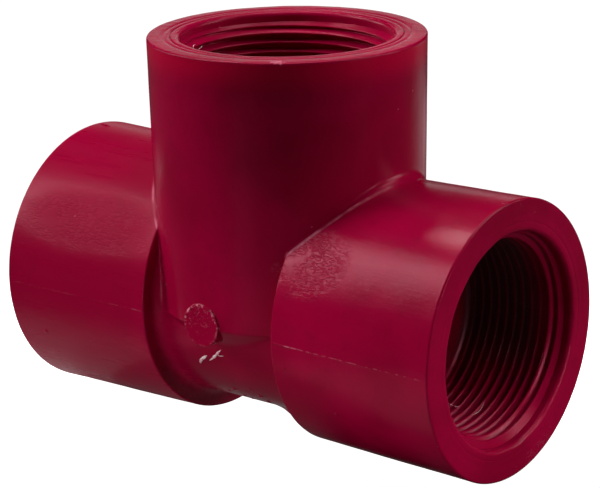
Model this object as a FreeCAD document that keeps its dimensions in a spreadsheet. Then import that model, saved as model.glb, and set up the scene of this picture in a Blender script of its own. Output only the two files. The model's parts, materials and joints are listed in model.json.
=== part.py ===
"""Moulded plastic pipe tee with three internally threaded hubs, as a parametric document.

The frame: the origin is where the axis of the run crosses the axis of the branch,
+X lies along the run, +Z along the branch, and the mould parts on the plane Z = 0.
Sizes are in millimetres.
"""
import FreeCAD, Part
import math
import os
import Sketcher
from FreeCAD import Vector

SIZES = {
    # outside
    "centre_to_face": 61.4,
    "hub_diameter": 63.5,  # at the mouth
    "draft_ratio": 0.0158,  # what a hub's radius loses per millimetre from its mouth
    "hub_start": 18.7,  # from the centre to a run hub's inner end
    "body_diameter": 52.7,  # the lower half of the centre, between the two run hubs
    "skirt_land": 0.6,  # how far the branch runs past the parting plane before it slants in
    "mouth_edge_radius": 0.5,
    "neck_radius": 2.4,  # between the centre body and a run hub's inner end
    "mitre_radius": 0.9,  # where the branch meets a run hub
    # face of each mouth
    "witness_radius": 26.5,  # ring that the joint of the mould's core leaves on the face
    "witness_width": 0.35,
    "witness_depth": 0.25,
    # inside
    "waterway_diameter": 40.0,
    "socket_depth": 26.0,
    "lead_in_diameter": 48.6,
    "lead_in_length": 2.3,
    "lead_in_chamfer": 0.8,
    # 1-1/2 inch taper pipe thread: 11.5 threads per inch, 1 in 16 on the diameter
    "thread_pitch": 2.2087,
    "thread_minor_diameter": 44.667,  # at the mouth's face
    "thread_height": 1.62,
    "thread_flat": 0.17,  # width of the flat along the root
    "thread_half_angle": 30.0,
    "taper_ratio": 0.03125,  # what the thread's radius loses per millimetre of depth
    "thread_relief": 0.5,  # plain length between the last groove and the shoulder
    "cutter_overlap": 0.08,  # how far the thread's cutter stands inside the crests
    "cutter_overrun": 1.2,  # how far it runs on into the lead-in
    # pad where the moulding was cut from its runner
    "gate_diameter": 9.9,
    "gate_offset": 1.3,  # from the branch's axis, towards -X
    "gate_standoff": 31.4,  # from the run's axis to the pad's face
    "gate_edge_radius": 0.25,
}

# Formulas that several features share
FACE = "Sizes.centre_to_face"
HUB_RADIUS = "Sizes.hub_diameter / 2"
HUB_START_RADIUS = f"{HUB_RADIUS} - Sizes.draft_ratio * ({FACE} - Sizes.hub_start)"
FOOT_RADIUS = f"{HUB_RADIUS} - Sizes.draft_ratio * {FACE}"
SKIRT_RADIUS = "Sizes.body_diameter / 2 - 1"
CREST_RADIUS = "Sizes.thread_minor_diameter / 2"
SHOULDER = f"{FACE} - Sizes.socket_depth"
LEAD_IN_END = f"{FACE} - Sizes.lead_in_length"
LEAD_IN_RADIUS = "Sizes.lead_in_diameter / 2"
CUTTER_REACH = "Sizes.thread_height + Sizes.cutter_overlap"
CUTTER_HALF_WIDTH = (
    f"(Sizes.thread_flat / 2 + ({CUTTER_REACH}) * tan(Sizes.thread_half_angle * 1deg))"
)
CUTTER_START = f"({SHOULDER} + Sizes.thread_relief + {CUTTER_HALF_WIDTH})"


def crest_radius_at(place):
    """Formula for the radius of the thread's crests at a distance from the centre."""
    return f"{CREST_RADIUS} - Sizes.taper_ratio * ({FACE} - ({place}))"


def make_sheet(doc):
    """The spreadsheet that drives every size: one row per name, with the name as alias."""
    sheet = doc.addObject("Spreadsheet::Sheet", "Sizes")
    for row, (name, value) in enumerate(SIZES.items(), start=1):
        sheet.set(f"A{row}", name)
        sheet.set(f"B{row}", str(value))
        sheet.setAlias(f"B{row}", name)
    doc.recompute()


def origin_feature(body, role):
    """One of the body's own planes or axes, such as XZ_Plane."""
    return next(f for f in body.Origin.OriginFeatures if f.Role == role)


def new_sketch(body, name, plane):
    sketch = body.newObject("Sketcher::SketchObject", name)
    sketch.AttachmentSupport = [(origin_feature(body, plane), "")]
    sketch.MapMode = "FlatFace"
    return sketch


def place_corner(sketch, line, start, across, up):
    """Tie the start of a line to the sketch's origin by two formulas; "-" leads a negative one."""
    for kind, formula, value in (("DistanceX", across, start.x), ("DistanceY", up, start.y)):
        if formula == "0":
            axis = -2 if kind == "DistanceX" else -1
            sketch.addConstraint(Sketcher.Constraint("PointOnObject", line, 1, axis))
        elif formula.startswith("-"):
            index = sketch.addConstraint(Sketcher.Constraint(kind, line, 1, -1, 1, -value))
            sketch.setExpression(f"Constraints[{index}]", formula[1:])
        else:
            index = sketch.addConstraint(Sketcher.Constraint(kind, -1, 1, line, 1, value))
            sketch.setExpression(f"Constraints[{index}]", formula)


def outline(body, name, plane, corners):
    """A closed outline of straight lines through corners given as pairs of formulas."""
    sketch = new_sketch(body, name, plane)
    count = len(corners)
    step = 2 * math.pi / count
    rough = [
        Vector(30 + 20 * math.cos(i * step), 30 + 20 * math.sin(i * step), 0)
        for i in range(count)
    ]
    for i in range(count):
        sketch.addGeometry(Part.LineSegment(rough[i], rough[(i + 1) % count]))
    for i in range(count):
        sketch.addConstraint(Sketcher.Constraint("Coincident", i, 2, (i + 1) % count, 1))
    for i, (across, up) in enumerate(corners):
        place_corner(sketch, i, rough[i], across, up)
    return sketch


def circle(body, name, plane, radius, left="0"):
    """A circle whose centre lies on the sketch's level axis, a distance to the origin's left."""
    sketch = new_sketch(body, name, plane)
    sketch.addGeometry(Part.Circle(Vector(-1, 0, 0), Vector(0, 0, 1), 10))
    sketch.addConstraint(Sketcher.Constraint("PointOnObject", 0, 3, -1))
    if left == "0":
        sketch.addConstraint(Sketcher.Constraint("PointOnObject", 0, 3, -2))
    else:
        index = sketch.addConstraint(Sketcher.Constraint("DistanceX", 0, 3, -1, 1, 1))
        sketch.setExpression(f"Constraints[{index}]", left)
    index = sketch.addConstraint(Sketcher.Constraint("Radius", 0, 10))
    sketch.setExpression(f"Constraints[{index}]", radius)
    return sketch


def turned(body, kind, name, sketch, axis):
    """A full turn of a sketch about one of the origin's axes: a Revolution or a Groove."""
    feature = body.newObject(f"PartDesign::{kind}", name)
    feature.Profile = sketch
    feature.ReferenceAxis = (origin_feature(body, axis), [""])
    feature.Angle = 360
    return feature


def repeated(body, name, feature, axis, angle, count):
    """Repeat a feature about one of the origin's axes."""
    pattern = body.newObject("PartDesign::PolarPattern", name)
    pattern.Originals = [feature]
    pattern.Axis = (origin_feature(body, axis), [""])
    pattern.Reversed = True
    pattern.Angle = angle
    pattern.Occurrences = count
    body.Tip = pattern


def at_every_mouth(body, name, feature):
    """Repeat a feature made in the +X mouth in the +Z and -X mouths: half a turn about Y."""
    repeated(body, name, feature, "Y_Axis", 180, 3)


def rounded(body, name, radius, test):
    """Round each edge of the solid so far that the test picks by its middle and its length."""
    body.Document.recompute()
    base = body.Tip
    chosen = []
    for number, edge in enumerate(base.Shape.Edges, start=1):
        middle = edge.valueAt((edge.FirstParameter + edge.LastParameter) / 2)
        if test(middle, edge.Length):
            chosen.append(f"Edge{number}")
    fillet = body.newObject("PartDesign::Fillet", name)
    fillet.Base = (base, chosen)
    fillet.setExpression("Radius", radius)
    print(f"{name}: {len(chosen)} edges rounded")


def circle_of(diameter):
    """A test that picks whole circles of a diameter by their length."""
    return lambda middle, length: abs(length - math.pi * diameter) < 0.01


def add_run(body):
    """Two hubs on X with the narrower centre body between them, blended where they meet."""
    hub_outline = outline(body, "run_hub_outline", "XY_Plane", [
        ("Sizes.hub_start", "0"),
        ("Sizes.hub_start", HUB_START_RADIUS),
        (FACE, HUB_RADIUS),
        (FACE, "0"),
    ])
    hub = turned(body, "Revolution", "run_hub", hub_outline, "X_Axis")
    repeated(body, "run_hubs", hub, "Z_Axis", 360, 2)
    centre = body.newObject("PartDesign::Pad", "centre_body")
    centre.Profile = circle(body, "centre_section", "YZ_Plane", "Sizes.body_diameter / 2")
    centre.Midplane = True
    centre.setExpression("Length", "2 * Sizes.hub_start + 2")
    rounded(body, "neck", "Sizes.neck_radius", circle_of(SIZES["body_diameter"]))


def add_branch(body):
    """The branch: its foot runs just past the parting plane, then slants in to the centre body."""
    drop = f"Sizes.skirt_land + {FOOT_RADIUS} - ({SKIRT_RADIUS})"
    branch_outline = outline(body, "branch_outline", "YZ_Plane", [
        ("0", FACE),
        (HUB_RADIUS, FACE),
        (FOOT_RADIUS, "0"),
        (FOOT_RADIUS, "-Sizes.skirt_land"),
        (SKIRT_RADIUS, f"-({drop})"),
        ("0", f"-({drop})"),
    ])
    turned(body, "Revolution", "branch", branch_outline, "Z_Axis")
    reach = SIZES["hub_start"]

    def on_mitre(middle, length):
        return middle.z > reach and abs(abs(middle.x) - middle.z) < 1 and length > reach

    rounded(body, "mitre", "Sizes.mitre_radius", on_mitre)


def add_gate_pad(body):
    """The round pad where the moulding was cut from its runner, on the -Y side."""
    pad = body.newObject("PartDesign::Pad", "gate_pad")
    pad.Profile = circle(
        body, "gate_section", "XZ_Plane", "Sizes.gate_diameter / 2", "Sizes.gate_offset"
    )
    pad.setExpression("Length", "Sizes.gate_standoff")
    rounded(body, "gate_edge", "Sizes.gate_edge_radius", circle_of(SIZES["gate_diameter"]))


def round_mouths(body):
    """A small radius around the outside of each mouth."""
    rounded(body, "mouth_edges", "Sizes.mouth_edge_radius", circle_of(SIZES["hub_diameter"]))


def cut_sockets(body):
    """The waterway, the tapered socket with its lead-in, and the witness ring, in each mouth."""
    beyond = f"{FACE} + 1"
    socket_outline = outline(body, "socket_outline", "XY_Plane", [
        ("0", "0"),
        ("0", "Sizes.waterway_diameter / 2"),
        (SHOULDER, "Sizes.waterway_diameter / 2"),
        (SHOULDER, crest_radius_at(SHOULDER)),
        (LEAD_IN_END, crest_radius_at(LEAD_IN_END)),
        (LEAD_IN_END, LEAD_IN_RADIUS),
        (f"{FACE} - Sizes.lead_in_chamfer", LEAD_IN_RADIUS),
        (FACE, f"{LEAD_IN_RADIUS} + Sizes.lead_in_chamfer"),
        (beyond, f"{LEAD_IN_RADIUS} + Sizes.lead_in_chamfer"),
        (beyond, "0"),
    ])
    socket = turned(body, "Groove", "socket", socket_outline, "X_Axis")
    at_every_mouth(body, "sockets", socket)
    inside = "Sizes.witness_radius - Sizes.witness_width / 2"
    outside = "Sizes.witness_radius + Sizes.witness_width / 2"
    witness_outline = outline(body, "witness_outline", "XY_Plane", [
        (f"{FACE} - Sizes.witness_depth", inside),
        (beyond, inside),
        (beyond, outside),
        (f"{FACE} - Sizes.witness_depth", outside),
    ])
    witness = turned(body, "Groove", "witness_ring", witness_outline, "X_Axis")
    at_every_mouth(body, "witness_rings", witness)


def cut_threads(body):
    """A right-hand taper thread in each socket, cut by a V swept outwards along a cone."""
    middle = CUTTER_START
    crest = crest_radius_at(middle)
    root = f"{crest} + Sizes.thread_height"
    flat = "Sizes.thread_flat / 2"
    cutter = outline(body, "thread_cutter", "XZ_Plane", [
        (f"{middle} - {CUTTER_HALF_WIDTH}", f"{crest} - Sizes.cutter_overlap"),
        (f"{middle} - {flat}", root),
        (f"{middle} + {flat}", root),
        (f"{middle} + {CUTTER_HALF_WIDTH}", f"{crest} - Sizes.cutter_overlap"),
    ])
    thread = body.newObject("PartDesign::SubtractiveHelix", "thread")
    thread.Profile = cutter
    thread.ReferenceAxis = (origin_feature(body, "X_Axis"), [""])
    thread.Mode = "pitch-turns-angle"
    thread.setExpression("Pitch", "Sizes.thread_pitch")
    travel = f"{LEAD_IN_END} + Sizes.cutter_overrun - {middle}"
    thread.setExpression("Turns", f"({travel}) / Sizes.thread_pitch")
    thread.setExpression("Angle", "atan(Sizes.taper_ratio)")
    at_every_mouth(body, "threads", thread)


def check(doc, part):
    """Stop if any object failed or the part isn't one valid solid."""
    doc.recompute()
    failed = [o.Name for o in doc.Objects if {"Invalid", "Error"} & set(o.State)]
    if failed:
        raise RuntimeError(f"failed objects: {failed}")
    shape = part.Shape
    if shape.isNull() or not shape.isValid() or len(shape.Solids) != 1:
        raise RuntimeError(f"{part.Label} isn't one valid solid")


def main():
    doc = FreeCAD.newDocument("tee")
    make_sheet(doc)
    body = doc.addObject("PartDesign::Body", "tee_body")
    body.Label = "tee_body"
    steps = (add_run, add_branch, add_gate_pad, round_mouths, cut_sockets, cut_threads)
    volume = 0
    for step in steps:
        step(body)
        check(doc, body)
        change = body.Shape.Volume - volume
        volume = body.Shape.Volume
        print(f"{step.__name__}: volume {change:+.0f} mm3")
    os.makedirs("parts", exist_ok=True)
    body.Shape.exportStep(f"parts/{body.Label}.step")
    print(f"{body.Label}: {volume:.0f} mm3 in {body.Shape.BoundBox}")


main()
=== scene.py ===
# Moulded crimson plastic pipe tee in a white studio: its skin with the real fillets, parting
# line, gate scar and taper threads, its worn semi-gloss finish, the lights and the camera.
# Shapes are worked out in millimetres in the shared frame (+X along the run, +Z along the
# branch) and turned into metres when a mesh is made.

import json
import math

import bmesh
import bpy
import numpy as np
from mathutils import Matrix, Vector


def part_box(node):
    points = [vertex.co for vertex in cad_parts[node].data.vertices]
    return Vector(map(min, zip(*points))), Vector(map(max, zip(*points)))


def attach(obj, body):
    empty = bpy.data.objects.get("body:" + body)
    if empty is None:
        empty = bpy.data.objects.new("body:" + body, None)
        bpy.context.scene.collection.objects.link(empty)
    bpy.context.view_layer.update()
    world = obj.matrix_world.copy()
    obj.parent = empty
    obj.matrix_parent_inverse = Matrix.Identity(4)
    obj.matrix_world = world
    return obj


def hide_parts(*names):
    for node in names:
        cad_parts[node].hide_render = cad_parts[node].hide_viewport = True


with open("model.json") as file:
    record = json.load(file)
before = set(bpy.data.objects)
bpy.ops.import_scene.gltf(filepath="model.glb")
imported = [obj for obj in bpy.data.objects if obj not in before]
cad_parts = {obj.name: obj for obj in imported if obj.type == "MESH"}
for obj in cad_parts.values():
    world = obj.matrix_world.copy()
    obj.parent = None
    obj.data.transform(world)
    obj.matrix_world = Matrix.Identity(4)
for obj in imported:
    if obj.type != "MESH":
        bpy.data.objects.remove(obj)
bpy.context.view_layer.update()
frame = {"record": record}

MM = 0.001
NODE = "tee_body"
node_low, node_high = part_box(NODE)
mounts = {m["name"]: m for m in frame["record"]["mounts"]}

# Outside
FACE = node_high.x / MM  # centre to each mouth's face
HUB_RADIUS = 31.75  # at the mouth
DRAFT = 0.0158  # what a hub's radius loses per millimetre from its mouth
HUB_START = 18.7  # from the centre to a run hub's inner end
CORE_RADIUS = 26.35  # lower half of the centre, between the run hubs
SKIRT_LAND = 0.6  # how far the branch runs below the parting plane before it slants in
NECK_FILLET = 2.4
MITRE_FILLET = 0.6  # at its foot
MITRE_FILLET_TOP = 2.6
HUB_END_EDGE = 0.35
SKIRT_EDGE = 0.25
MOUTH_EDGE = 0.5

# Mouths, as depths from the face and radii
SEAM_DEPTH = 1.5  # where the turned mouth takes over from the skin
WITNESS_RADIUS = 26.5
WITNESS_WIDTH = 0.45
WITNESS_DEPTH = 0.3  # on the branch
RUN_WITNESS_DEPTH = 0.05
FAINT_RING_RADIUS = 27.95  # a second groove, a quarter as deep
FAINT_RING_WIDTH = 0.1
LEAD_IN_RADIUS = mounts["branch_socket"]["dims"]["r_mm"]
LEAD_IN_LENGTH = 2.3
LEAD_IN_ROUND = 1.1
SOCKET_DEPTH = 26.0
WATERWAY_EDGE = 0.25
WATERWAY_RADIUS = mounts["run_waterway"]["dims"]["r_mm"]

# 1-1/2 inch taper pipe thread
PITCH = 2.2087
CREST_RADIUS = 22.3335  # at the face
THREAD_HEIGHT = 1.62
THREAD_FLAT = 0.17
TAPER = 0.03125
THREAD_RELIEF = 0.5
POINTS_PER_PITCH = 14

# Gate pad, on the front of the branch's foot
PAD_X = -1.3
PAD_RADIUS = 4.95
PAD_STANDOFF = 31.15
PAD_EDGE = 0.2

# Specks on the hubs: place along the run, and angle round it from +Y
SPECKS_ALONG = (22.1, 34.2, -52.1)
SPECKS_ROUND = (190, 207, 202)

CELL = 0.65  # of the grid that the skin starts from
COLUMNS = 300  # round a mouth


# ---------------------------------------------------------------- shape of the outside

def hub_radius(along):
    """Radius of a hub at a distance along its own axis from the centre."""
    return HUB_RADIUS - DRAFT * (FACE - along)


def rounded_union(a, b, radius):
    """Two solids' distances joined, with a fillet in the inner corner."""
    inner = np.hypot(np.maximum(radius - a, 0), np.maximum(radius - b, 0))
    return np.maximum(radius, np.minimum(a, b)) - inner


def rounded_common(a, b, radius):
    """What two solids share, with a rounded outer edge."""
    outer = np.hypot(np.maximum(radius + a, 0), np.maximum(radius + b, 0))
    return np.minimum(-radius, np.maximum(a, b)) + outer


def outside_distance(p):
    """Distance of each point from the smooth outside, negative inside it."""
    x, y, z = p[:, 0], p[:, 1], p[:, 2]
    from_run = np.hypot(y, z)
    from_branch = np.hypot(x, y)
    hubs = rounded_common(from_run - hub_radius(np.abs(x)), HUB_START - np.abs(x), HUB_END_EDGE)
    run = rounded_union(from_run - CORE_RADIUS, hubs, NECK_FILLET)
    foot = hub_radius(-SKIRT_LAND) + SKIRT_LAND
    skirt = (from_branch - z - foot) / math.sqrt(2)
    branch = rounded_common(from_branch - hub_radius(z), skirt, SKIRT_EDGE)
    fillet = MITRE_FILLET + (MITRE_FILLET_TOP - MITRE_FILLET) * smooth_step(19, 4, np.abs(y))
    body = rounded_union(run, branch, fillet)
    pad_rim = np.hypot(x - PAD_X, z) - PAD_RADIUS
    pad = np.maximum(rounded_common(pad_rim, -PAD_STANDOFF - y, PAD_EDGE), y)
    return np.minimum(body, pad)


def waves(seed, length, count=7):
    """A smooth random field of about that wavelength, with values mostly between -1 and 1."""
    rng = np.random.default_rng(seed)
    directions = rng.normal(size=(count, 3))
    directions /= np.linalg.norm(directions, axis=1)[:, None]
    numbers = directions * (2 * math.pi / (length * rng.uniform(0.7, 1.5, (count, 1))))
    phases = rng.uniform(0, 2 * math.pi, count)

    def field(p):
        return np.sin(p @ numbers.T + phases).sum(axis=1) / math.sqrt(count)

    return field


def smooth_step(low, high, value):
    """0 below low, 1 above high, and a smooth rise between."""
    t = np.clip((value - low) / (high - low), 0, 1)
    return t * t * (3 - 2 * t)


swell = waves(3, 26)
ripple = waves(5, 7)
breaks = waves(8, 9)
fine_breaks = waves(13, 2.2)
pad_noise = waves(21, 0.8, 12)


def parting_ridge(p):
    """Fine raised line round the hubs where the mould's halves met, at z = 0."""
    x, z = p[:, 0], p[:, 2]
    strength = 0.55 + 0.35 * breaks(p) + 0.25 * fine_breaks(p)
    strength = np.clip(strength, 0, 1.2)
    inner_flash = 1 + 1.3 * np.exp(-(((x - HUB_START - 4) / 3.2) ** 2))
    on_hub = smooth_step(HUB_START + 0.4, HUB_START + 1.2, np.abs(x))
    off_mouth = 1 - smooth_step(FACE - 2.2, FACE - SEAM_DEPTH - 0.1, np.abs(x))
    line = np.exp(-(((z + 0.05 * ripple(p)) / 0.13) ** 2))
    side = 0.4 + 0.6 * (x > 0)
    return 0.075 * strength * side * inner_flash * on_hub * off_mouth * line


def pad_relief(p):
    """Torn rim and rough upper half of the gate pad."""
    x, y, z = p[:, 0] - PAD_X, p[:, 1], p[:, 2]
    radius = np.hypot(x, z)
    on_pad = smooth_step(0.9, 0.3, np.abs(y + PAD_STANDOFF)) * (y < 0)
    upper = smooth_step(-1.2, 2.2, z)
    rim = np.exp(-(((radius - PAD_RADIUS + 0.28) / 0.2) ** 2))
    rim_height = 0.04 + 0.2 * upper * np.clip(0.4 + pad_noise(p), 0, 2)
    rough = upper * 0.05 * pad_noise(p) * smooth_step(PAD_RADIUS, 4.2, radius)
    return on_pad * (rim * rim_height + rough)


def speck_places():
    """Small raised specks: a trail under the core and a few on the hubs' lower front."""
    rng = np.random.default_rng(17)
    along = np.append(rng.uniform(-15, 17, 16), SPECKS_ALONG)
    angle = np.radians(np.append(rng.uniform(222, 251, 16), SPECKS_ROUND))
    radius = np.where(np.abs(along) > HUB_START, hub_radius(np.abs(along)), CORE_RADIUS)
    return np.column_stack([along, radius * np.cos(angle), radius * np.sin(angle)])


specks = speck_places()


def speck_relief(p):
    height = np.zeros(len(p))
    for i, centre in enumerate(specks):
        size = 0.24 + 0.06 * (i % 4)
        height += size * np.exp(-((p - centre) ** 2).sum(axis=1) / size**2)
    return height


def relief(p):
    """How far the real skin stands off the smooth outside."""
    base = 0.03 * swell(p) + 0.008 * ripple(p)
    return base + parting_ridge(p) + pad_relief(p) + speck_relief(p)


def skin_distance(p):
    return outside_distance(p) - relief(p)


def gradient(distance, p, step=0.004):
    """Direction in which the distance grows, by differences."""
    out = np.empty_like(p)
    for axis in range(3):
        shift = np.zeros(3)
        shift[axis] = step
        out[:, axis] = (distance(p + shift) - distance(p - shift)) / (2 * step)
    return out


def settle(distance, p, locked, rounds=4):
    """Moves points onto the zero surface. A locked axis keeps its coordinate."""
    p = p.copy()
    for _ in range(rounds):
        slope = gradient(distance, p)
        slope[locked] = 0
        square = np.maximum((slope**2).sum(axis=1), 0.05)
        p -= np.clip(distance(p) / square, -1, 1)[:, None] * slope
    return p


# ---------------------------------------------------------------- skin from a grid

CORNERS = [(i, j, k) for i in (0, 1) for j in (0, 1) for k in (0, 1)]
CELL_EDGES = [
    (a, b)
    for a in range(8)
    for b in range(a + 1, 8)
    if sum(abs(CORNERS[a][n] - CORNERS[b][n]) for n in range(3)) == 1
]


def grid_lines(low, high):
    return np.linspace(low, high, int(round((high - low) / CELL)) + 1)


def surface_net(distance, lines):
    """One vertex in each cell that the surface crosses, joined by quads across crossed edges."""
    xs, ys, zs = lines
    yy, zz = np.meshgrid(ys, zs, indexing="ij")
    value = np.empty((len(xs), len(ys), len(zs)))
    for i, x in enumerate(xs):
        plane = np.column_stack([np.full(yy.size, x), yy.ravel(), zz.ravel()])
        value[i] = distance(plane).reshape(yy.shape)
    inside = value < 0
    shape = tuple(n - 1 for n in value.shape)
    count = np.zeros(shape, int)
    for i, j, k in CORNERS:
        count += inside[i : i + shape[0], j : j + shape[1], k : k + shape[2]]
    cells = np.argwhere((count > 0) & (count < 8))
    number = np.full(shape, -1)
    number[tuple(cells.T)] = np.arange(len(cells))
    corner_value = np.column_stack([value[tuple((cells + c).T)] for c in CORNERS])
    total = np.zeros((len(cells), 3))
    crossings = np.zeros(len(cells))
    for a, b in CELL_EDGES:
        va, vb = corner_value[:, a], corner_value[:, b]
        crossed = (va < 0) != (vb < 0)
        t = np.where(crossed, va / np.where(crossed, va - vb, 1), 0)
        start, end = np.array(CORNERS[a]), np.array(CORNERS[b])
        total += crossed[:, None] * (start + t[:, None] * (end - start))
        crossings += crossed
    place = cells + total / crossings[:, None]
    points = np.column_stack(
        [np.interp(place[:, n], np.arange(len(lines[n])), lines[n]) for n in range(3)]
    )
    quads = []
    for axis in range(3):
        u, v = (axis + 1) % 3, (axis + 2) % 3
        first = inside.take(range(inside.shape[axis] - 1), axis)
        second = inside.take(range(1, inside.shape[axis]), axis)
        for flip in (False, True):
            crossed = np.argwhere((first & ~second) if not flip else (~first & second))
            keep = np.all(crossed[:, [u, v]] > 0, axis=1)
            keep &= crossed[:, u] < shape[u]
            keep &= crossed[:, v] < shape[v]
            base = crossed[keep]
            ring = []
            for du, dv in ((1, 1), (0, 1), (0, 0), (1, 0)):
                cell = base.copy()
                cell[:, u] -= du
                cell[:, v] -= dv
                ring.append(number[tuple(cell.T)])
            quad = np.column_stack(ring)
            quads.append(quad[:, ::-1] if flip else quad)
    return points, np.vstack(quads)


def locked_axes(p):
    """The seam with each mouth lies in a plane, so its points keep that coordinate."""
    seam = FACE - SEAM_DEPTH
    locked = np.zeros(p.shape, bool)
    locked[:, 0] = np.abs(np.abs(p[:, 0]) - seam) < 1e-4
    locked[:, 2] = np.abs(p[:, 2] - seam) < 1e-4
    return locked


def wanted_length(p):
    """How fine the skin's mesh is near each small feature."""
    x, y, z = p[:, 0], p[:, 1], p[:, 2]
    length = np.full(len(p), 0.9)
    near_line = (np.abs(z) < 0.45) & (np.abs(x) > HUB_START)
    length[near_line] = 0.17
    for centre in specks:
        length[np.linalg.norm(p - centre, axis=1) < 0.8] = 0.16
    near_pad = (np.hypot(x - PAD_X, z) < PAD_RADIUS + 0.4) & (y < -25)
    length[near_pad] = 0.22
    return length


def vertex_array(bm):
    return np.array([v.co[:] for v in bm.verts])


def refine(bm, distance, rounds=3):
    """Splits edges that are long for their place or that turn sharply."""
    for _ in range(rounds):
        bm.verts.index_update()
        p = vertex_array(bm)
        slope = gradient(distance, p)
        slope /= np.linalg.norm(slope, axis=1)[:, None]
        ends = np.array([(e.verts[0].index, e.verts[1].index) for e in bm.edges])
        a, b = p[ends[:, 0]], p[ends[:, 1]]
        length = np.linalg.norm(a - b, axis=1)
        turn = 1 - (slope[ends[:, 0]] * slope[ends[:, 1]]).sum(axis=1)
        split = length > 1.35 * wanted_length((a + b) / 2)
        split |= (turn > 0.02) & (length > 0.16)
        chosen = [e for e, s in zip(bm.edges, split) if s]
        if not chosen:
            break
        made = bmesh.ops.subdivide_edges(bm, edges=chosen, cuts=1, use_grid_fill=True)
        new = [v for v in made["geom_inner"] if isinstance(v, bmesh.types.BMVert)]
        new = list(dict.fromkeys(new))
        moved = np.array([v.co[:] for v in new])
        moved = settle(distance, moved, locked_axes(moved))
        for v, co in zip(new, moved):
            v.co = co


def add_skin(bm):
    seam = FACE - SEAM_DEPTH
    side = HUB_RADIUS + 1.2
    lines = [grid_lines(-seam, seam), grid_lines(-side, side), grid_lines(-side, seam)]
    points, quads = surface_net(outside_distance, lines)
    snap = 0.75 * CELL
    for axis, place in ((0, -seam), (0, seam), (2, seam)):
        on_seam = np.abs(points[:, axis] - place) < snap
        points[on_seam, axis] = place
    points = settle(outside_distance, points, locked_axes(points))
    verts = [bm.verts.new(p) for p in points]
    for quad in quads:
        bm.faces.new([verts[i] for i in quad])
    refine(bm, outside_distance)
    p = vertex_array(bm)
    p = settle(skin_distance, p, locked_axes(p), rounds=5)
    for v, co in zip(bm.verts, p):
        v.co = co


# ---------------------------------------------------------------- mouths, threads, waterway

def arc(centre, radius, start, end, steps):
    """Points of a circular arc in (depth, radius) space, angles in degrees."""
    angles = np.radians(np.linspace(start, end, steps + 1))
    return [
        (centre[0] - radius * math.cos(a), centre[1] + radius * math.sin(a)) for a in angles
    ]


def mouth_profile(witness):
    """(depth, radius) pairs from the seam on the hub's outside, over the face, to the thread.
    The witness is how deep the turned groove on the face is."""
    outer = hub_radius(FACE)
    points = [(d, hub_radius(FACE - d)) for d in (1.0, 0.75)]
    points += arc((MOUTH_EDGE, outer - MOUTH_EDGE), MOUTH_EDGE, 90, 0, 7)
    points += [(0, outer - 1.55), (0, outer - 2.55)]
    half = FAINT_RING_WIDTH / 2
    faint = ((0, half + 0.15), (0.25, half), (0.25, -half), (0, -half - 0.15))
    points += [(share * witness, FAINT_RING_RADIUS + off) for share, off in faint]
    half = WITNESS_WIDTH / 2
    fall = ((0, half + 0.12), (0.15, half), (0.8, 0.45 * half))
    points += [(share * witness, WITNESS_RADIUS + off) for share, off in fall]
    points += [(witness, WITNESS_RADIUS)]
    points += [(share * witness, WITNESS_RADIUS - off) for share, off in reversed(fall)]
    points += [(0, WITNESS_RADIUS - 0.6)]
    inner = LEAD_IN_RADIUS + LEAD_IN_ROUND
    points += [
        (LEAD_IN_ROUND * (1 - math.cos(a)), inner - LEAD_IN_ROUND * math.sin(a))
        for a in np.radians(np.linspace(0, 84, 9))
    ]
    points += [(d, LEAD_IN_RADIUS) for d in (1.3, 1.7, LEAD_IN_LENGTH)]
    return points


def thread_rise(turn_share):
    """0 on a crest and 1 on a root, at a share of the pitch, with slightly rounded corners."""
    flank = THREAD_HEIGHT * math.tan(math.radians(30)) / PITCH
    crest_half = (1 - THREAD_FLAT / PITCH - 2 * flank) / 2
    from_crest = np.abs((turn_share + 0.5) % 1 - 0.5)
    straight = np.clip((from_crest - crest_half) / flank, 0, 1)
    return 0.35 * smooth_step(0, 1, straight) + 0.65 * straight


def mouth_columns():
    """Angles round a mouth. COLUMNS is a multiple of four, so that the waterway's mitre shares
    its points."""
    return np.arange(COLUMNS) * (2 * math.pi / COLUMNS)


def thread_grid(angles):
    """(depth, radius) grids of the thread, columns by points along the helix."""
    turns = int(math.ceil(SOCKET_DEPTH / PITCH)) + 2
    share = np.arange(turns * POINTS_PER_PITCH) / POINTS_PER_PITCH
    lead = angles[:, None] / (2 * math.pi)  # right-hand: deeper as it turns clockwise
    depth = PITCH * (share[None, :] + lead)
    run_out = smooth_step(SOCKET_DEPTH - THREAD_RELIEF, SOCKET_DEPTH - THREAD_RELIEF - 0.9, depth)
    rise = thread_rise(share)[None, :] * run_out
    depth = np.clip(depth, LEAD_IN_LENGTH, SOCKET_DEPTH)
    radius = CREST_RADIUS - TAPER * depth + THREAD_HEIGHT * rise
    chamfer = LEAD_IN_RADIUS - 1.1 * (depth - LEAD_IN_LENGTH)
    return depth, np.maximum(radius, chamfer)


MOUTH_TURNS = {
    "right": Matrix.Identity(3),
    "branch": Matrix.Rotation(math.radians(-90), 3, "Y"),
    "left": Matrix.Rotation(math.radians(180), 3, "Y"),
}


def on_mouth(turn, depth, radius, angle):
    """Points of a mouth, whose own axis is +X before the turn."""
    local = np.stack(
        np.broadcast_arrays(FACE - depth, radius * np.sin(angle), radius * np.cos(angle)), axis=-1
    )
    return local @ np.array(turn).T


mouth_wave = waves(31, 5)


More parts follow.
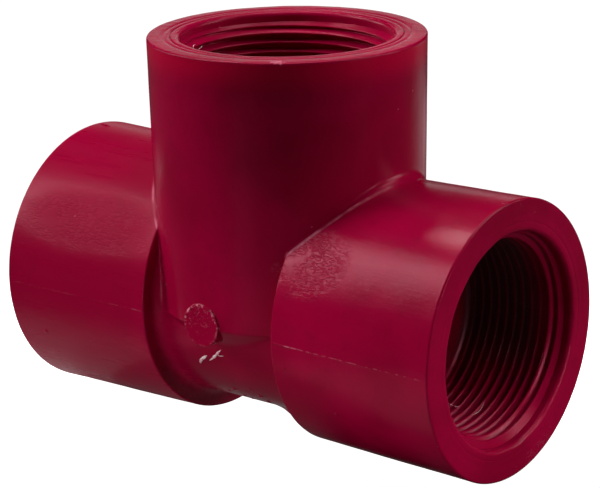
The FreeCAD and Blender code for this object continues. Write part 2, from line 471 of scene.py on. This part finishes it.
def add_mouth(bm, turn, witness):
    """Face, lead-in and thread of one mouth. Returns its outer ring, for the seam."""
    angles = mouth_columns()
    profile = np.array(mouth_profile(witness))
    depth = np.tile(profile[:, 0], (COLUMNS, 1))
    radius = np.tile(profile[:, 1], (COLUMNS, 1))
    points = on_mouth(turn, depth, radius, angles[:, None])
    flat = points.reshape(-1, 3)
    outward = on_mouth(turn, FACE, 1, angles)[:, None, :]
    axis = on_mouth(turn, FACE - 1, 0, 0)
    lift = (0.03 * swell(flat) + 0.008 * ripple(flat)).reshape(depth.shape)
    near_seam = smooth_step(0.3, 1.0, depth) * (radius > 30)
    points = points + (near_seam * lift)[..., None] * outward
    on_face = (depth < 0.3) & (radius > LEAD_IN_RADIUS + 0.4)
    dip = (0.02 * mouth_wave(flat)).reshape(depth.shape) * on_face
    points = points - np.abs(dip)[..., None] * axis
    inner_edge = np.exp(-(((radius - LEAD_IN_RADIUS - 0.5) / 0.5) ** 2))
    uneven = (0.05 * ripple(flat) + 0.05 * mouth_wave(flat)).reshape(depth.shape)
    points = points + (inner_edge * uneven)[..., None] * outward
    rings = [[bm.verts.new(co) for co in column] for column in points]
    for a in range(COLUMNS):
        b = (a + 1) % COLUMNS
        for i in range(len(profile) - 1):
            bm.faces.new((rings[a][i], rings[a][i + 1], rings[b][i + 1], rings[b][i]))
    depth, radius = thread_grid(angles)
    points = on_mouth(turn, depth, radius, angles[:, None])
    thread = [[bm.verts.new(co) for co in column] for column in points]
    last = len(thread[0]) - 1
    for a in range(COLUMNS):
        b = (a + 1) % COLUMNS
        step = POINTS_PER_PITCH if b == 0 else 0
        for i in range(last):
            j = min(i + step, last)
            k = min(i + 1 + step, last)
            corners = (thread[a][i], thread[a][i + 1], thread[b][k], thread[b][j])
            if len(set(corners)) > 2:
                bm.faces.new(tuple(dict.fromkeys(corners)))
    return [column[0] for column in rings]


def add_waterway(bm):
    """Shoulders and the plain bores, which meet in a mitre round the branch."""
    start = FACE - SOCKET_DEPTH
    lip = start - WATERWAY_EDGE
    shoulder = CREST_RADIUS - TAPER * SOCKET_DEPTH
    steps = 24
    for name, turn in MOUTH_TURNS.items():
        own = np.array(turn)
        columns = []
        for angle in mouth_columns():
            ring = WATERWAY_RADIUS * np.array([0, math.sin(angle), math.cos(angle)])
            across = own @ ring
            if name == "branch":
                stop = abs(across[0])
            else:
                stop = max(across[2], 0)
            shelf = own @ np.array([start, shoulder * math.sin(angle), shoulder * math.cos(angle)])
            wide = 1 + WATERWAY_EDGE / WATERWAY_RADIUS
            column = [shelf, own @ (wide * ring + np.array([start, 0, 0]))]
            for share in np.linspace(0, 1, steps):
                along = lip + share * (stop - lip)
                column.append(own @ (ring + np.array([along, 0, 0])))
            columns.append([bm.verts.new(co) for co in column])
        for a in range(COLUMNS):
            b = (a + 1) % COLUMNS
            for i in range(len(columns[0]) - 1):
                bm.faces.new((columns[a][i], columns[a][i + 1], columns[b][i + 1], columns[b][i]))


def open_edge(bm):
    """The vertices on the skin's open rings, before the mouths are added."""
    return [v for v in bm.verts if any(e.is_boundary for e in v.link_edges)]


def zip_rings(bm, turn, skin_ring, mouth_ring):
    """Joins two rings of different counts with one strip of triangles."""
    own = np.array(turn).T

    def ordered(ring):
        local = np.array([v.co[:] for v in ring]) @ own.T
        angle = np.arctan2(local[:, 1], local[:, 2])
        order = np.argsort(angle)
        return [ring[i] for i in order], angle[order]

    skin, skin_angle = ordered(skin_ring)
    mouth, mouth_angle = ordered(mouth_ring)
    i = j = 0
    while i < len(skin) or j < len(mouth):
        next_skin = skin_angle[i + 1] if i + 1 < len(skin) else skin_angle[0] + 2 * math.pi
        next_mouth = mouth_angle[j + 1] if j + 1 < len(mouth) else mouth_angle[0] + 2 * math.pi
        step_skin = j >= len(mouth) or (i < len(skin) and next_skin < next_mouth)
        a, b = skin[i % len(skin)], mouth[j % len(mouth)]
        if step_skin:
            bm.faces.new((a, skin[(i + 1) % len(skin)], b))
            i += 1
        else:
            bm.faces.new((a, mouth[(j + 1) % len(mouth)], b))
            j += 1


def make_object(name, bm, material):
    """Turns the millimetre mesh into a shown piece in metres."""
    bmesh.ops.recalc_face_normals(bm, faces=bm.faces)
    mesh = bpy.data.meshes.new(name)
    bm.to_mesh(mesh)
    bm.free()
    mesh.transform(Matrix.Scale(MM, 4))
    mesh.polygons.foreach_set("use_smooth", [True] * len(mesh.polygons))
    mesh.materials.append(material)
    mesh.update()
    piece = bpy.data.objects.new(name, mesh)
    bpy.context.scene.collection.objects.link(piece)
    return piece


def build_tee(material):
    bm = bmesh.new()
    add_skin(bm)
    boundary = open_edge(bm)
    for name, turn in MOUTH_TURNS.items():
        own = np.array(turn).T
        skin_ring = [v for v in boundary if (own @ np.array(v.co))[0] > FACE - SEAM_DEPTH - 0.01]
        witness = WITNESS_DEPTH if name == "branch" else RUN_WITNESS_DEPTH
        mouth_ring = add_mouth(bm, turn, witness)
        zip_rings(bm, turn, skin_ring, mouth_ring)
    add_waterway(bm)
    bmesh.ops.remove_doubles(bm, verts=bm.verts, dist=2e-4)
    bmesh.ops.dissolve_degenerate(bm, edges=bm.edges, dist=1e-5)
    return make_object("tee_moulding", bm, material)


# ---------------------------------------------------------------- finish

class Finish:
    """A material, with short calls that wire its nodes. Lengths in it are in millimetres."""

    def __init__(self, name):
        self.material = bpy.data.materials.new(name)
        self.material.use_nodes = True
        self.tree = self.material.node_tree
        self.shader = self.tree.nodes["Principled BSDF"]
        self.place = self.vector("SCALE", self.add("TexCoord").outputs["Object"], scale=1 / MM)
        parts = self.add("SeparateXYZ")
        self.feed(parts.inputs[0], self.place)
        self.x, self.y, self.z = parts.outputs
        self.along = self.math("ABSOLUTE", self.x)
        self.from_run = self.math("SQRT", self.sum_of_squares(self.y, self.z))
        self.from_branch = self.math("SQRT", self.sum_of_squares(self.x, self.y))
        self.on_run = self.fade(self.math("SUBTRACT", self.along, self.z), -0.3, 0.3)

    def add(self, kind):
        return self.tree.nodes.new("ShaderNode" + kind)

    def feed(self, socket, value):
        if isinstance(value, bpy.types.NodeSocket):
            self.tree.links.new(value, socket)
        else:
            socket.default_value = value

    def math(self, operation, *values):
        node = self.add("Math")
        node.operation = operation
        for socket, value in zip(node.inputs, values):
            self.feed(socket, value)
        return node.outputs[0]

    def sum_of_squares(self, a, b):
        return self.math("MULTIPLY_ADD", a, a, self.math("MULTIPLY", b, b))

    def gather(self, operation, *values):
        """The same operation over any number of values."""
        result = values[0]
        for value in values[1:]:
            result = self.math(operation, result, value)
        return result

    def times(self, *values):
        return self.gather("MULTIPLY", *values)

    def total(self, *values):
        return self.gather("ADD", *values)

    def greatest(self, *values):
        return self.gather("MAXIMUM", *values)

    def vector(self, operation, a, b=None, scale=None):
        node = self.add("VectorMath")
        node.operation = operation
        self.feed(node.inputs[0], a)
        if b is not None:
            self.feed(node.inputs[1], b)
        if scale is not None:
            node.inputs["Scale"].default_value = scale
        return node.outputs["Value" if operation in ("LENGTH", "DISTANCE") else "Vector"]

    def fade(self, value, low, high, start=0.0, end=1.0):
        """Goes smoothly from start to end as the value goes from low to high."""
        node = self.add("MapRange")
        node.interpolation_type = "SMOOTHSTEP"
        for name, given in (("Value", value), ("From Min", low), ("From Max", high)):
            self.feed(node.inputs[name], given)
        self.feed(node.inputs["To Min"], start)
        self.feed(node.inputs["To Max"], end)
        return node.outputs["Result"]

    def noise(self, length, detail=2.0, stretch=None, distortion=0.0):
        """Cloudy values around a half, with features of about that length."""
        place = self.vector("MULTIPLY", self.place, stretch) if stretch else self.place
        node = self.add("TexNoise")
        self.feed(node.inputs["Vector"], place)
        node.inputs["Scale"].default_value = 1 / length
        node.inputs["Detail"].default_value = detail
        node.inputs["Distortion"].default_value = distortion
        return node.outputs["Fac"]

    def drawn(self, length, stretch, detail=2.0):
        """Noise drawn out along each hub's own axis, as ejection from the mould leaves it."""
        run = self.noise(length, detail, stretch=(1 / stretch, 1, 1))
        branch = self.noise(length, detail, stretch=(1, 1, 1 / stretch))
        return self.blend(self.on_run, branch, run)

    def blend(self, share, a, b):
        node = self.add("Mix")
        self.feed(node.inputs[0], share)
        self.feed(node.inputs[2], a)
        self.feed(node.inputs[3], b)
        return node.outputs[0]

    def mix(self, share, a, b):
        node = self.add("Mix")
        node.data_type = "RGBA"
        self.feed(node.inputs[0], share)
        self.feed(node.inputs[6], a)
        self.feed(node.inputs[7], b)
        return node.outputs[2]

    def patch(self, centre, size):
        """1 in the middle of an oval patch and 0 outside it."""
        offset = self.vector("SUBTRACT", self.place, centre)
        offset = self.vector("DIVIDE", offset, size)
        return self.fade(self.vector("LENGTH", offset), 0.45, 1.0, 1.0, 0.0)

    def line(self, value, middle, half_width):
        """1 where the value is at its middle, falling to 0 a half width away."""
        off = self.math("ABSOLUTE", self.math("SUBTRACT", value, middle))
        return self.fade(off, 0.4 * half_width, half_width, 1.0, 0.0)

    def bump(self, height):
        """Turns a height, in millimetres, into the shading normal."""
        node = self.add("Bump")
        node.inputs["Distance"].default_value = MM
        self.feed(node.inputs["Height"], height)
        return node.outputs["Normal"]


DEEP_CRIMSON = (0.30, 0.0003, 0.028, 1)
BRIGHT_CRIMSON = (0.385, 0.0006, 0.039, 1)
DUSKY_CRIMSON = (0.23, 0.0020, 0.024, 1)
PAINTED_RIM_LIGHT_CRIMSON = (0.6, 0.0006, 0.04, 1)  # painted light: a brighter band just under the branch's rim, as if light came through the wall
# painted shade in the run bores
PAINTED_BORE_SHADE = (0.07, 0.045, 0.049, 1)
WHITENED_AND_HIGHLIGHT_PINK = (0.72, 0.20, 0.29, 1)  # plastic that whitened where it tore or was scraped, and the painted highlight along the mitre lips
TORN_PINK = (0.75, 0.12, 0.22, 1)
TORN_WHITE = (1.0, 0.78, 0.83, 1)


def clouded_crimson_with_painted_shade(f):
    """The compound's own colour: cloudy, with duskier mottling. The clouding is held down on the
    left hub, darkening it there as painted shade.
    """
    # Painted shade: on the left hub the clouding falls to a fifth, which leaves it deep and darker.
    cloud_and_painted_shade = f.times(f.fade(f.noise(24, 3.0), 0.36, 0.64), f.fade(f.x, -30, -15, 0.2, 1.0))
    colour = f.mix(cloud_and_painted_shade, DEEP_CRIMSON, BRIGHT_CRIMSON)
    mottle = f.fade(f.noise(3.2, 4.0), 0.52, 0.74, 0.0, 0.22)
    return f.mix(mottle, colour, DUSKY_CRIMSON)


def painted_rim_light(f):
    """Painted light: a brighter band just under the branch's rim, as if light soaked through the
    wall.
    """
    rim_light_band = f.times(f.fade(f.z, FACE - 8, FACE - 1), f.fade(f.z, FACE - 0.6, FACE - 0.3, 1.0, 0.0))
    return f.times(rim_light_band, f.fade(f.from_branch, 30, 31), 0.8)


def leather(f, left_patch):
    """Leathery patches, where the hot skin tore a little as it left the mould: where they are,
    and how torn each spot is."""
    torn = f.noise(0.55, 4.0, stretch=(0.4, 1, 1), distortion=0.5)
    right_patch = f.patch((25, -25, 18), (13, 12, 9))
    stray = f.times(f.fade(f.noise(19, 2.0), 0.6, 0.7, 0.0, 0.5), f.fade(f.y, -8, 2))
    patches = f.greatest(right_patch, left_patch, stray)
    patches = f.times(patches, f.fade(f.noise(4.5, 3.0), 0.34, 0.52))
    return f.times(patches, f.fade(f.from_run, 28, 29.5), f.on_run), f.fade(torn, 0.42, 0.6)


def parting_line(f):
    """Whitened where its flash broke off."""
    line = f.line(f.z, 0.0, 0.2)
    line = f.times(line, f.fade(f.along, 18.9, 19.6), f.fade(f.along, 58.5, 60, 1.0, 0.0))
    broken = f.fade(f.noise(1.6, 3.0), 0.47, 0.6)
    near_neck = f.times(f.fade(f.along, 20, 29, 1.0, 0.3), f.fade(f.x, -5, 5, 0.3, 1.0))
    return f.times(line, broken, near_neck, 0.75)


def painted_mitre_highlight(f):
    """Painted highlight: a pale line along the lip of each mitre, on the front."""
    lip = f.line(f.math("SUBTRACT", f.along, f.z), 0.5, 0.6)
    lip = f.times(lip, f.fade(f.along, HUB_START, HUB_START + 0.6), f.fade(f.from_run, 28, 30))
    return f.times(lip, f.fade(f.noise(7, 2.0), 0.4, 0.56, 0.1, 0.7), f.fade(f.y, -8, -5, 1.0, 0.0))


def gate_scar(f):
    """Torn rim of the pad where the gate broke off, and the torn spots inside it."""
    off_centre = f.math("SUBTRACT", f.x, PAD_X)
    radius = f.math("SQRT", f.sum_of_squares(off_centre, f.z))
    on_pad = f.times(f.fade(f.y, -30.7, -30.1, 1.0, 0.0), f.fade(f.z, -2.5, 3.0, 0.12, 1.0))
    rim = f.times(f.line(radius, PAD_RADIUS - 0.25, 0.42), f.fade(f.noise(1.1, 3.0), 0.47, 0.6))
    inside = f.fade(radius, PAD_RADIUS - 0.2, PAD_RADIUS, 1.0, 0.0)
    spots = f.fade(f.noise(0.8, 3.0, distortion=1.2), 0.55, 0.72)
    return f.times(on_pad, f.greatest(rim, f.times(inside, spots, 0.35)))


def face_scrape(f):
    """A short scrape on the front edge of the branch's face."""
    spot = f.patch((17.7, -25.2, FACE), (3, 2, 1))
    return f.times(spot, f.fade(f.noise(0.9, 3.0), 0.45, 0.6), 0.6)


def pale_specks(f):
    """A few pale specks everywhere."""
    cells = f.add("TexVoronoi")
    f.feed(cells.inputs["Vector"], f.place)
    cells.inputs["Scale"].default_value = 1 / 6.5
    chosen = f.fade(cells.outputs["Color"], 0.62, 0.66)
    return f.times(f.fade(cells.outputs["Distance"], 0.018, 0.04, 1.0, 0.0), chosen, 0.5)


def painted_bore_shade(f):
    """Painted shade in the run bores: the threads are darkened, but for their lowest stretch."""
    bore_shade_reach = f.times(f.fade(f.from_run, 22.5, 24.2, 1.0, 0.0), f.fade(f.along, 50, 56, 1.0, 0.0))
    return f.times(bore_shade_reach, f.fade(f.along, 33, 36), f.fade(f.z, -17, -6, 0.0, 0.8))


def turned_rings(f):
    """Faint rings that the facing tool left on each mouth's face."""
    run_face = f.fade(f.along, FACE - 0.35, FACE - 0.2)
    branch_face = f.fade(f.z, FACE - 0.35, FACE - 0.2)
    ring = f.add("TexNoise")
    ring.noise_dimensions = "1D"
    radius = f.blend(branch_face, f.times(f.from_run, run_face), f.from_branch)
    f.feed(ring.inputs["W"], radius)
    ring.inputs["Scale"].default_value = 1.6
    return ring.outputs["Fac"]


def make_plastic():
    """Semi-gloss crimson moulding compound, drawn out along the hubs, scuffed and torn."""
    f = Finish("crimson_moulding")
    left_patch = f.patch((-38, -26, 17), (27, 12, 9))
    patches, torn = leather(f, left_patch)
    # Whitened marks, together with the painted highlight along the mitre lips.
    whitening_and_painted_highlight = f.greatest(
        parting_line(f), painted_mitre_highlight(f), gate_scar(f), face_scrape(f), pale_specks(f)
    )

    # Painted light: the brighter band under the branch's rim.
    colour = f.mix(painted_rim_light(f), clouded_crimson_with_painted_shade(f), PAINTED_RIM_LIGHT_CRIMSON)
    pale = f.times(patches, f.fade(torn, 0.5, 1.0, 0.0, 0.16), f.fade(f.x, -20, 0, 0.4, 1.0))
    colour = f.mix(pale, colour, WHITENED_AND_HIGHLIGHT_PINK)
    colour = f.mix(whitening_and_painted_highlight, colour, WHITENED_AND_HIGHLIGHT_PINK)
    # Painted shade: darkens the run bores' threads.
    colour = f.mix(painted_bore_shade(f), colour, PAINTED_BORE_SHADE)
    f.feed(f.shader.inputs["Base Color"], colour)

    left_hub = f.times(f.fade(f.x, -22, -12, 1.0, 0.0), f.on_run)
    roughness = f.total(
        f.fade(f.drawn(2.4, 9, 3.0), 0.35, 0.65, 0.21, 0.27),
        f.times(patches, torn, 0.16),
        f.times(whitening_and_painted_highlight, 0.15),
        f.times(left_hub, 0.06),
        f.times(left_patch, 0.32),
    )
    f.feed(f.shader.inputs["Roughness"], roughness)
    f.shader.inputs["IOR"].default_value = 1.45
    f.shader.inputs["Specular IOR Level"].default_value = 0.2
    f.shader.inputs["Specular Tint"].default_value = (1.0, 0.36, 0.46, 1)

    orange_peel = f.times(f.noise(1.7, 2.0), 0.022)
    grain = f.times(f.noise(0.42, 2.0), 0.016)
    drawn = f.times(f.drawn(0.5, 6, 2.0), 0.018)
    wrinkles = f.times(patches, torn, f.fade(f.x, -20, 0, -0.06, -0.1))
    height = f.total(orange_peel, grain, drawn, wrinkles, f.times(turned_rings(f), 0.02))
    f.feed(f.shader.inputs["Normal"], f.bump(height))
    return f.material


def make_torn_plastic():
    """The same compound where it was torn or cut: drawn thin, whitened and glossy."""
    f = Finish("torn_moulding")
    streaks = f.fade(f.noise(0.5, 3.0, distortion=0.8), 0.3, 0.6)
    f.feed(f.shader.inputs["Base Color"], f.mix(streaks, TORN_PINK, TORN_WHITE))
    f.feed(f.shader.inputs["Roughness"], f.fade(f.noise(0.3), 0.3, 0.7, 0.12, 0.3))
    f.feed(f.shader.inputs["Normal"], f.bump(f.times(f.noise(0.25), 0.03)))
    return f.material


plastic = make_plastic()
tee = build_tee(plastic)
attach(tee, "root")
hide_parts(NODE)


# ---------------------------------------------------------------- torn bits

torn_edge = waves(41, 1.1)


def add_strand(bm, line, out, width, flatness, steps=8):
    """A strip that tapers to both ends, along a line, with its flat side facing out."""
    count = len(line)
    along = np.gradient(line, axis=0)
    side = np.cross(out, along)
    side /= np.linalg.norm(side, axis=1)[:, None]
    taper = np.sin(np.linspace(0.05, math.pi - 0.05, count)) ** 0.6
    size = width / 2 * taper * (1 + 0.3 * torn_edge(line))
    rings = []
    for place, s, o, r in zip(line, side, out, size):
        turns = [2 * math.pi * i / steps for i in range(steps)]
        ring = [place + r * (math.cos(t) * s + flatness * math.sin(t) * o) for t in turns]
        rings.append([bm.verts.new(co) for co in ring])
    bm.faces.new(rings[0])
    bm.faces.new(rings[-1][::-1])
    for low, high in zip(rings, rings[1:]):
        for i in range(steps):
            j = (i + 1) % steps
            bm.faces.new((low[i], low[j], high[j], high[i]))


def bend(start, middle, end, count=22):
    """A smooth line from start to end, pulled toward the middle point."""
    t = np.linspace(0, 1, count)[:, None]
    start, middle, end = (np.array(p, float) for p in (start, middle, end))
    return (1 - t) ** 2 * start + 2 * t * (1 - t) * middle + t**2 * end


def add_sliver(bm, start, middle, end, width, lift):
    """A torn sliver lying on the skin, its middle curled up off it."""
    line = bend(start, middle, end)
    line = settle(skin_distance, line, np.zeros(line.shape, bool))
    out = gradient(skin_distance, line)
    out /= np.linalg.norm(out, axis=1)[:, None]
    line = line + lift * np.sin(np.linspace(0, math.pi, len(line)))[:, None] * out
    add_strand(bm, line, out, width, 0.4)


def build_gate_vestige(material):
    """What the gate left under its pad: two curled slivers, one of them forked."""
    bm = bmesh.new()
    add_sliver(bm, (-8.9, -23.0, -12.8), (-8.0, -23.7, -11.0), (-5.6, -24.4, -9.9), 0.85, 0.4)
    add_sliver(bm, (-5.5, -23.8, -11.2), (-3.0, -24.7, -9.6), (-0.5, -25.4, -7.1), 0.6, 0.4)
    add_sliver(bm, (-2.2, -24.8, -8.9), (-1.2, -24.9, -8.9), (-0.3, -24.9, -8.8), 0.36, 0.2)
    return make_object("gate_vestige", bm, material)


def build_swarf(material):
    """A few hairs of swarf left on the lips of the mouths."""
    bm = bmesh.new()
    right_lip = FACE - 0.5
    facing = np.array([1.0, 0.0, 0.0])
    for start, middle, end in (
        ((-23.6, -7.0), (-22.0, -8.6), (-19.9, -8.8)),
        ((-14.8, -12.5), (-12.4, -12.8), (-11.0, -10.6)),
    ):
        line = bend((right_lip, *start), (FACE + 0.3, *middle), (FACE + 0.1, *end))
        add_strand(bm, line, np.tile(facing, (len(line), 1)), 0.08, 0.8)
    facing = np.array([0.0, 0.0, 1.0])
    for start, middle, end in (
        ((-7.0, -23.9), (-8.4, -23.0), (-8.5, -21.4)),
        ((-6.0, -23.9), (-5.2, -23.0), (-6.2, -22.2)),
    ):
        line = bend((*start, FACE - 0.4), (*middle, FACE + 0.3), (*end, FACE + 0.2))
        add_strand(bm, line, np.tile(facing, (len(line), 1)), 0.11, 0.8)
    return make_object("thread_swarf", bm, material)


def build_flash_chip(material):
    """A flap of flash left on top of the left hub, by its mouth."""
    bm = bmesh.new()
    top = hub_radius(FACE)
    line = bend((-FACE + 0.25, 1.4, top - 0.1), (-59, 0.6, top + 0.3), (-56.2, 0.3, top - 0.1))
    add_strand(bm, line, np.tile([0.0, 0.0, 1.0], (len(line), 1)), 0.9, 0.3)
    return make_object("flash_chip", bm, material)


torn_plastic = make_torn_plastic()
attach(build_gate_vestige(torn_plastic), "root")
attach(build_swarf(torn_plastic), "root")
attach(build_flash_chip(plastic), "root")


# ---------------------------------------------------------------- studio

# Camera, as the photograph was solved
AZIMUTH = math.radians(38.9835)
ELEVATION = math.radians(16.718)
ROLL = math.radians(-1.1707)
DISTANCE = 17.675 * HUB_RADIUS * MM
LENS = 145.485
AIM_ACROSS = 0.06181 * HUB_RADIUS * MM
AIM_HEIGHT = 0.3647 * HUB_RADIUS * MM

# Floor
FLOOR_GAP = 0.0004  # m, under the tee
BACKGROUND_GLOW = 1.0  # what the camera itself sees
SHEET_RADIUS = 100.0  # mm, of the pale patches round the tee
SHEET_GLOW = 0.2
GLOW_POOL_PLACE = (15.0, 300.0, 0.0)  # mm, the middle of a glowing patch behind the tee, a painted pool of light
GLOW_POOL_RADIUS = 120.0
GLOW_POOL_STRENGTH = 0.45
DARK_FLOOR = (0.05, 0.05, 0.05, 1)
PALE_FLOOR = (0.85, 0.85, 0.85, 1)


def lathe_bowl(name, profile, steps=96):
    """A surface turned round the Z axis from (radius, height) pairs, in metres."""
    bm = bmesh.new()
    rings = []
    for radius, height in profile:
        turns = [2 * math.pi * i / steps for i in range(steps)]
        ring = [(radius * math.cos(t), radius * math.sin(t), height) for t in turns]
        rings.append([bm.verts.new(co) for co in ring])
    bm.faces.new(rings[0])
    for low, high in zip(rings, rings[1:]):
        for i in range(steps):
            j = (i + 1) % steps
            bm.faces.new((low[i], low[j], high[j], high[i]))
    mesh = bpy.data.meshes.new(name)
    bm.to_mesh(mesh)
    bm.free()
    for polygon in mesh.polygons:
        polygon.use_smooth = True
    bowl = bpy.data.objects.new(name, mesh)
    bpy.context.scene.collection.objects.link(bowl)
    return bowl


def make_studio():
    """A floor that sweeps up all round. The camera sees it as plain white. The tee mirrors a dark
    floor with pale, faintly glowing patches in front, behind and to the left, and a painted pool of
    light, a glowing patch, further back."""
    f = Finish("studio_white")
    reach = f.vector("LENGTH", f.place)
    pale_glowing_patches = f.fade(reach, SHEET_RADIUS, 1.7 * SHEET_RADIUS, 1.0, 0.0)
    front = f.times(f.fade(f.y, -42, -32, 1.0, 0.0), f.fade(f.x, -30, 10), 0.5)
    back = f.times(f.fade(f.y, -14, -4), f.fade(f.x, 45, 62, 1.0, 0.0))
    left = f.times(f.fade(f.x, 6, 26, 1.0, 0.0), f.fade(f.y, -60, -40), 0.48)
    pale_glowing_patches = f.times(pale_glowing_patches, f.greatest(front, back, left))
    glow_pool = f.vector("DISTANCE", f.place, GLOW_POOL_PLACE)
    glow_pool = f.fade(glow_pool, 0.6 * GLOW_POOL_RADIUS, GLOW_POOL_RADIUS, 1.0, 0.0)
    f.feed(f.shader.inputs["Base Color"], f.mix(pale_glowing_patches, DARK_FLOOR, PALE_FLOOR))
    f.shader.inputs["Roughness"].default_value = 0.9
    f.shader.inputs["Specular IOR Level"].default_value = 0.0
    f.shader.inputs["Emission Color"].default_value = (1, 1, 1, 1)
    seen = f.times(f.add("LightPath").outputs["Is Camera Ray"], BACKGROUND_GLOW)
    # Painted light: the pale patches and the pool further back glow.
    glow = f.total(f.times(pale_glowing_patches, SHEET_GLOW), f.times(glow_pool, GLOW_POOL_STRENGTH), seen)
    f.feed(f.shader.inputs["Emission Strength"], glow)
    bottom = node_low.z - FLOOR_GAP
    flat, bend_radius, wall = 2.2, 0.8, 2.5
    profile = [(0.05, bottom), (0.4, bottom), (1.0, bottom), (flat, bottom)]
    for angle in np.radians(np.linspace(10, 90, 9)):
        out, up = bend_radius * math.sin(angle), bend_radius * (1 - math.cos(angle))
        profile.append((flat + out, bottom + up))
    profile.append((flat + bend_radius, bottom + bend_radius + wall))
    bowl = lathe_bowl("studio_sweep", profile)
    bowl.data.materials.append(f.material)


def direction(azimuth, elevation):
    """Unit vector from the tee, with the azimuth counted from its front (-Y) toward +X."""
    flat = math.cos(elevation)
    return Vector((math.sin(azimuth) * flat, -math.cos(azimuth) * flat, math.sin(elevation)))


def aim(thing, target):
    sight = Vector(target) - thing.location
    thing.rotation_mode = "QUATERNION"
    thing.rotation_quaternion = sight.to_track_quat("-Z", "Y")


def softbox(name, side, height, distance, size, radiance, target=(0, 0, 0), cone=180):
    """A rectangular light. Side is its angle from the camera's own azimuth, positive to the right,
    and height its elevation, both in degrees; radiance is how bright its face is. A gridded one
    lights only a cone."""
    away = direction(AZIMUTH + math.radians(side), math.radians(height))
    light = bpy.data.lights.new(name, "AREA")
    light.shape = "RECTANGLE"
    light.size, light.size_y = size
    light.energy = math.pi * size[0] * size[1] * radiance
    light.spread = math.radians(cone)
    if cone < 180:
        half = light.spread / 2
        light.energy *= (math.tan(half) - half) / math.tan(half)
    box = bpy.data.objects.new(name, light)
    box.location = Vector(target) + away * distance
    bpy.context.scene.collection.objects.link(box)
    aim(box, target)


def make_camera():
    data = bpy.data.cameras.new("camera")
    data.sensor_width = 36
    data.lens = LENS
    camera = bpy.data.objects.new("camera", data)
    bpy.context.scene.collection.objects.link(camera)
    target = Vector((AIM_ACROSS * math.cos(AZIMUTH), AIM_ACROSS * math.sin(AZIMUTH), AIM_HEIGHT))
    back = direction(AZIMUTH, ELEVATION)
    right = Vector((math.cos(AZIMUTH), math.sin(AZIMUTH), 0))
    up = back.cross(right)
    turned_right = right * math.cos(ROLL) + up * math.sin(ROLL)
    turned_up = up * math.cos(ROLL) - right * math.sin(ROLL)
    axes = Matrix((turned_right, turned_up, back)).transposed()
    camera.matrix_world = Matrix.Translation(target + back * DISTANCE) @ axes.to_4x4()
    data.clip_start = 0.01
    data.clip_end = 50
    bpy.context.scene.camera = camera


make_studio()
make_camera()
softbox("key", -93, 38, 1.1, (0.35, 0.62), 10.3)
softbox("key_near", -140, 53, 0.3, (0.045, 0.045), 22, target=(0.0575, -0.016, 0.0275))
softbox("right_low", 92, 16, 1.1, (0.35, 0.3), 7.5)
softbox("right_near", 60, 8, 0.25, (0.08, 0.08), 15, target=(0.0575, 0.0, -0.012), cone=30)
softbox("front_low", -38, 6, 0.4, (0.14, 0.04), 64, target=(-0.031, -0.03, -0.048), cone=28)
softbox("left_low", -115, 15, 1.1, (0.35, 0.3), 6)
softbox("right_panel", 85, 42, 1.1, (0.45, 0.35), 5.5)
softbox("right_high", 112, 65, 1.1, (0.35, 0.35), 4.8)
softbox("top", 0, 88, 1.1, (0.5, 0.5), 3)
softbox("back_high", 180, 65, 1.1, (0.35, 0.35), 3.7)
softbox("back_low", 180, 11, 1.1, (0.6, 0.15), 0.75)

world = bpy.data.worlds.new("studio")
world.use_nodes = True
background = world.node_tree.nodes["Background"]
background.inputs["Color"].default_value = (1, 1, 1, 1)
background.inputs["Strength"].default_value = 0.02
bpy.context.scene.world = world
bpy.context.scene.view_settings.view_transform = "Standard"
